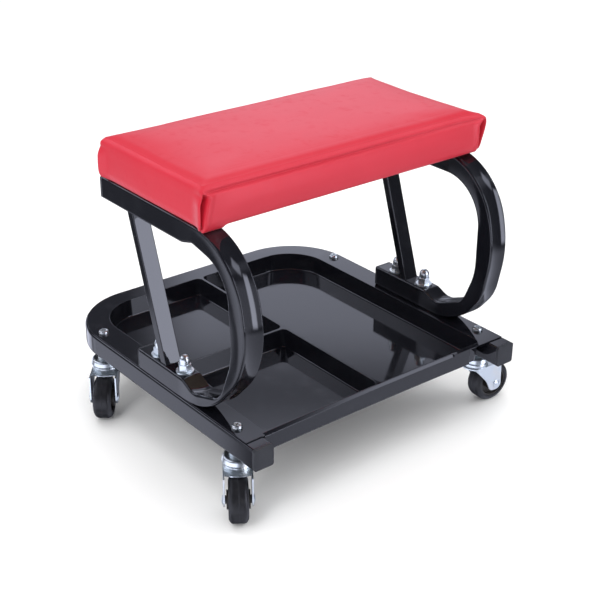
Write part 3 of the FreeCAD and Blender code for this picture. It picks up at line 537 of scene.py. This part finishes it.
def swelled(place, tree, moves):
    """How far the vinyl moves at a place, as the cloth does round it."""
    neighbours, softness = 12, 0.002
    near = [
        (number, 1 / (distance + softness) ** 2)
        for _, number, distance in tree.find_n(place, neighbours)
    ]
    weight = sum(share for _, share in near)
    return sum((moves[number] * share for number, share in near), Vector()) / weight


cloth_tree, cloth_moves = swelling()
levels = 40
cushion_mesh, grid = shell(
    spaced(half_width), spaced(half_depth), [step / levels for step in range(levels + 1)]
)
for vertex in grid.values():
    vertex.co += swelled(vertex.co, cloth_tree, cloth_moves)
cushion_mesh.normal_update()
normals = {key: vertex.normal.copy() for key, vertex in grid.items()}


def ear(x, y, height):
    """How far the folded vinyl stands out beyond an end, near a front or rear corner."""
    reach, margin = 0.026, 0.001
    near = passage(abs(y), half_depth - reach, half_depth - margin)
    if x > 0:
        least, low, high = 0.0016, 0.002, 0.041
        more = 0.0098 if y < 0 else 0.0042
        return near ** 2 * (least + more * passage(height, low, high))
    most, less, low, high = 0.0034, 0.0056, 0.026, 0.045
    return near ** 2 * (most - less * passage(height, low, high))


def droop(beyond, height):
    """How far the top edge comes down with an ear, the less the further it stands out."""
    share, less, low, high = 0.3, 13, 0.036, 0.046
    return (share - less * beyond) * max(beyond, 0.0) * passage(height, low, high)


def pocket(lap, height):
    """How far the front is sunk behind the fold, by the lap in from the end."""
    depth, mouth, far_edge = 0.0115, (0.0014, 0.0024), (0.0026, 0.0042)
    narrow, widening, widens, closes = 0.0002, 0.0044, (0.006, 0.034), (0.033, 0.0395)
    lip_height, lip_lap, lip_width = 0.001, 0.0075, 0.003
    foot, head = (0.0, 0.005), (0.0365, 0.0395)
    wide = narrow + widening * passage(height, *widens) * (1 - passage(height, *closes))
    sunk = passage(lap, *mouth) * (1 - passage(lap, far_edge[0] + wide, far_edge[1] + wide))
    lip = lip_height * bell(lap - lip_lap - wide, lip_width)
    return (depth * sunk - lip) * passage(height, *foot) * (1 - passage(height, *head))


def crease(x, y, height):
    """How deep the vinyl is creased below the top edge, which is less towards the right."""
    deepest, less, less_from = 0.0031, 0.0012, -0.05
    level, half_height = 0.0402, 0.0018
    from_end, from_face = (0.004, 0.016), (0.02, 0.006)
    line = bell(height - level, half_height) * passage(half_width - abs(x), *from_end)
    taut = deepest - less * passage(x, less_from, half_width)
    return taut * line * passage(abs(y), half_depth - from_face[0], half_depth - from_face[1])


def bulge(x, height):
    """How far the foam fills out the middle of the front and back."""
    fullest, level, half_height, from_end = 0.0012, 0.024, 0.012, (0.01, 0.05)
    panel = bell(height - level, half_height) * passage(half_width - abs(x), *from_end)
    return fullest * panel


def unevenness(x, y, height):
    """How far the foam lifts the vinyl in slow waves, which the staples hold down below."""
    most, waves, high_waves, held = 0.0006, 14, 22, (0.004, 0.014)
    swell = noise.noise(Vector((x * waves, y * waves, height * high_waves))) * most
    return swell * passage(height, *held)


def tongue(x, y, lap, height):
    """How far the end of the front left fold hangs down below the seat."""
    length, foot, side, near_front = 0.0028, (0.0005, 0.006), (0.027, 0.0285), 0.008
    if x >= 0 or y >= near_front - half_depth:
        return 0.0
    return length * (1 - passage(height, *foot)) * (1 - passage(lap, *side))


def underside(x, y):
    """The height of the underside at the board within the hem and at the hem's mitres."""
    inside_height, mitre_height, mitre_half = 0.0021, 0.0007, 0.0012
    wander, waves, layer = 0.0011, 60, 4.0
    mitre_from, mitre_to = 0.007, 0.042
    strayed = wander * noise.noise(Vector((x * waves, y * waves, layer)))
    from_end, from_face = half_width - abs(x), half_depth - abs(y)
    if from_end - hem_inside + strayed > 0 and from_face - hem_inside + strayed > 0:
        return inside_height
    if mitre_from < from_end < mitre_to and mitre_from < from_face < mitre_to:
        return mitre_height * bell(abs(from_end - from_face), mitre_half)
    return None


side_play, ear_length = 0.0008, 0.032
front_from, front_to = 0.0095, 0.0045
for (column, row, level), vertex in grid.items():
    x, y = vertex.co.x, vertex.co.y - seat_middle.y
    height = vertex.co.z - seat_low.z
    lap = half_width - side_play - abs(x)
    at_front = passage(abs(y), half_depth - front_from, half_depth - front_to)
    sink = pocket(lap, height) * at_front + crease(x, y, height)
    sink -= bulge(x, height) * at_front
    sink -= unevenness(x, y, height)
    vertex.co -= normals[column, row, level] * sink
    beyond = ear(x, y, height) * (1 - passage(lap, 0.0, ear_length))
    vertex.co.x += math.copysign(beyond, x)
    vertex.co.z -= droop(beyond, height) + tongue(x, y, lap, height)
    under = underside(x, y) if level == 0 else None
    if under is not None:
        vertex.co.z = seat_low.z + under
cushion_mesh.normal_update()
mesh = bpy.data.meshes.new("cushion")
cushion_mesh.to_mesh(mesh)
cushion_mesh.free()
for polygon in mesh.polygons:
    polygon.use_smooth = True
cushion = bpy.data.objects.new("cushion", mesh)
bpy.context.scene.collection.objects.link(cushion)
subdivide = cushion.modifiers.new("subdivide", "SUBSURF")
subdivide.levels = subdivide.render_levels = 1


def red_vinyl(place):
    pebbles = {"Vector": place, "Scale": 1150.0, "Randomness": 1.0}
    leather = place.node("TexVoronoi", pebbles, feature="SMOOTH_F1")
    cloud = between(patches(place, 22.0, 4.0), 0.3, 0.75)
    rubbed = between(patches(place, 95.0, 5.0), 0.5, 0.8)
    pebble_depth, wave_depth = 2.2e-5, 6e-5
    height = leather * pebble_depth + patches(place, 60.0, 3.0) * wave_depth
    return {
        "Base Color": tint(cloud, (0.545, 0.014, 0.034, 1), (0.56, 0.016, 0.037, 1)),
        "Roughness": 0.4 + 0.1 * rubbed,
        "Normal": relief(height),
        "IOR": 1.45,
        "Sheen Weight": 0.09,
        "Sheen Roughness": 0.4,
    }


cushion.data.materials.append(finish("red_vinyl", red_vinyl))
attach(cushion, "base")
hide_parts("seat_cover", "seat_foam")

# Staples: galvanised wire, bent square, that holds the vinyl's hem to the board.
# They are shot in through the hem in a row along each edge.
# They take the same darker zinc, whose lower tone is painted shade under the seat.
dress(dull_shaded_zinc, "seat_staples")

# Seat screws: blackened steel screws with pan heads, driven up through the upper arms
# into the board, which holds the seat. Driving them has rubbed the black off in places.


def black_oxide(place):
    rub = between(patches(place, 700.0, 3.0), 0.5, 0.75)
    return {
        "Base Color": tint(rub, (0.03, 0.03, 0.034, 1), (0.1, 0.1, 0.11, 1)),
        "Metallic": 0.8,
        "Roughness": 0.42 - 0.1 * rub,
        "Normal": relief(rub * 2e-5, 0.0004),
    }


dress(finish("black_oxide", black_oxide), "seat_screws")

# Studio: a plain pale floor, a wide soft box overhead and a tall one on each side, inside
# a black tent with lit windows. Only the gloss sees the tent, which keeps the paint black.


def pale_floor(place):
    drift = between(patches(place, 6.0, 2.0), 0.3, 0.7)
    return {
        "Base Color": tint(drift, (0.95, 0.95, 0.952, 1), (0.96, 0.96, 0.962, 1)),
        "Roughness": 0.7 + 0.1 * drift,
        "Specular IOR Level": 0.0,
    }


floor_mesh = bpy.data.meshes.new("floor")
reach = 12.0
floor_corners = [(-reach, -reach, 0), (reach, -reach, 0), (reach, reach, 0), (-reach, reach, 0)]
floor_mesh.from_pydata(floor_corners, [], [(0, 1, 2, 3)])
floor = bpy.data.objects.new("floor", floor_mesh)
bpy.context.scene.collection.objects.link(floor)
floor.data.materials.append(finish("pale_floor", pale_floor))
floor.visible_glossy = False


def soft_box(name, place, aim, width, height, power):
    """A lit rectangle that faces the point aimed at: its size in metres and its power in watts."""
    light = bpy.data.lights.new(name, "AREA")
    light.shape = "RECTANGLE"
    light.size, light.size_y, light.energy = width, height, power
    box = bpy.data.objects.new(name, light)
    box.location = place
    box.rotation_euler = (Vector(aim) - Vector(place)).to_track_quat("-Z", "Y").to_euler()
    box.visible_glossy = False
    bpy.context.scene.collection.objects.link(box)


tray_height, seat_side = (0, 0, 0.1), (0, 0, 0.2)
soft_box("overhead_box", (0.1, 0.35, 1.9), tray_height, width=1.9, height=1.6, power=13.0)
soft_box("left_box", (-1.5, -0.5, 1.3), seat_side, width=0.5, height=1.2, power=9.5)
soft_box("right_box", (1.4, -0.9, 1.2), seat_side, width=0.7, height=1.1, power=6.0)


# Each window's brightness, then in degrees the heading of its middle, half its width, its lower
# and upper edge, and how soft its edges are. Heading 0 is to the right, and 90 to the back.
windows = [
    (5.0, -67, 10, -13, 42, 3),
    (0.7, -60, 70, -88, -18, 4),
    (1.0, 48, 12, 15, 30.5, 3),
    (2.6, -34, 16, 38, 52, 3),
    (0.85, 121, 9, -70, -23.5, 1.5),
    (3.0, 118, 12, 28, 42, 4),
    (0.25, 54, 10, 2, 17, 3),
    (1.4, 95, 13, -30, 8, 5),
    (1.4, 158, 22, 30, 62, 6),
    (1.5, 187, 47, -36, 6, 6),
    (0.9, 50, 15, 33.5, 50, 3),
    (0.9, 58, 16, 18, 23, 2),
]


def tent_walls(place):
    """What the gloss mirrors: black cloth, with lit windows by their heading and height."""
    across, back, up = split(place.node("VectorMath", {0: place}, operation="NORMALIZE"))
    heading = back.maths("ARCTAN2", back, across) * (180 / math.pi)
    height = up.maths("ARCSINE", up, 0.0) * (180 / math.pi)

    def window(middle, half, low, high, soft):
        inside = 1.0 - between(abs(heading - middle), half - soft, half + soft)
        over = between(height, low - soft, low + soft)
        return inside * over * (1.0 - between(height, high - soft, high + soft))

    cloth, brightest = 0.08, 10.0
    lit = cloth
    for brightness, middle, *edges in windows:
        shape = window(middle, *edges)
        if middle > 180:
            # The headings start anew at the left, so this window is set a full turn back too
            shape = shape + window(middle - 360, *edges)
        lit = lit + brightness * shape
    black, cool_white = (0.0, 0.0, 0.0, 1), (0.92, 0.96, 1.16, 1)
    return {
        "Base Color": black,
        "Emission Color": tint(lit * (1 / brightest), black, cool_white),
        "Emission Strength": brightest,
    }


tent_mesh = bpy.data.meshes.new("tent")
tent_shell = bmesh.new()
bmesh.ops.create_icosphere(tent_shell, subdivisions=4, radius=4.0)
tent_shell.to_mesh(tent_mesh)
tent_shell.free()
tent = bpy.data.objects.new("tent", tent_mesh)
bpy.context.scene.collection.objects.link(tent)
tent.data.materials.append(finish("tent_walls", tent_walls))
tent.visible_camera = tent.visible_diffuse = False
tent.visible_shadow = tent.visible_transmission = False

world = bpy.data.worlds.new("studio")
world.use_nodes = True
background = world.node_tree.nodes["Background"]
background.inputs["Color"].default_value = (1.0, 1.0, 1.0, 1)
background.inputs["Strength"].default_value = 1.0
world.cycles_visibility.glossy = False
bpy.context.scene.world = world
bpy.context.scene.view_settings.view_transform = "Standard"

# Camera: the picture's own view, from in front of the left side and above.
# Its place, heading, downward tilt and roll are the ones that the straight tubes gave.
camera_place = (-0.8341, -1.0622, 0.8008)
heading, tilt, roll = -39.05, 26.29, 0.58
camera_data = bpy.data.cameras.new("camera")
camera_data.lens = 75.98
camera_data.sensor_width = 36.0
camera = bpy.data.objects.new("camera", camera_data)
camera.matrix_world = (
    Matrix.Translation(camera_place)
    @ Matrix.Rotation(math.radians(heading), 4, "Z")
    @ Matrix.Rotation(math.radians(90 - tilt), 4, "X")
    @ Matrix.Rotation(math.radians(roll), 4, "Z")
)
bpy.context.scene.collection.objects.link(camera)
bpy.context.scene.camera = camera
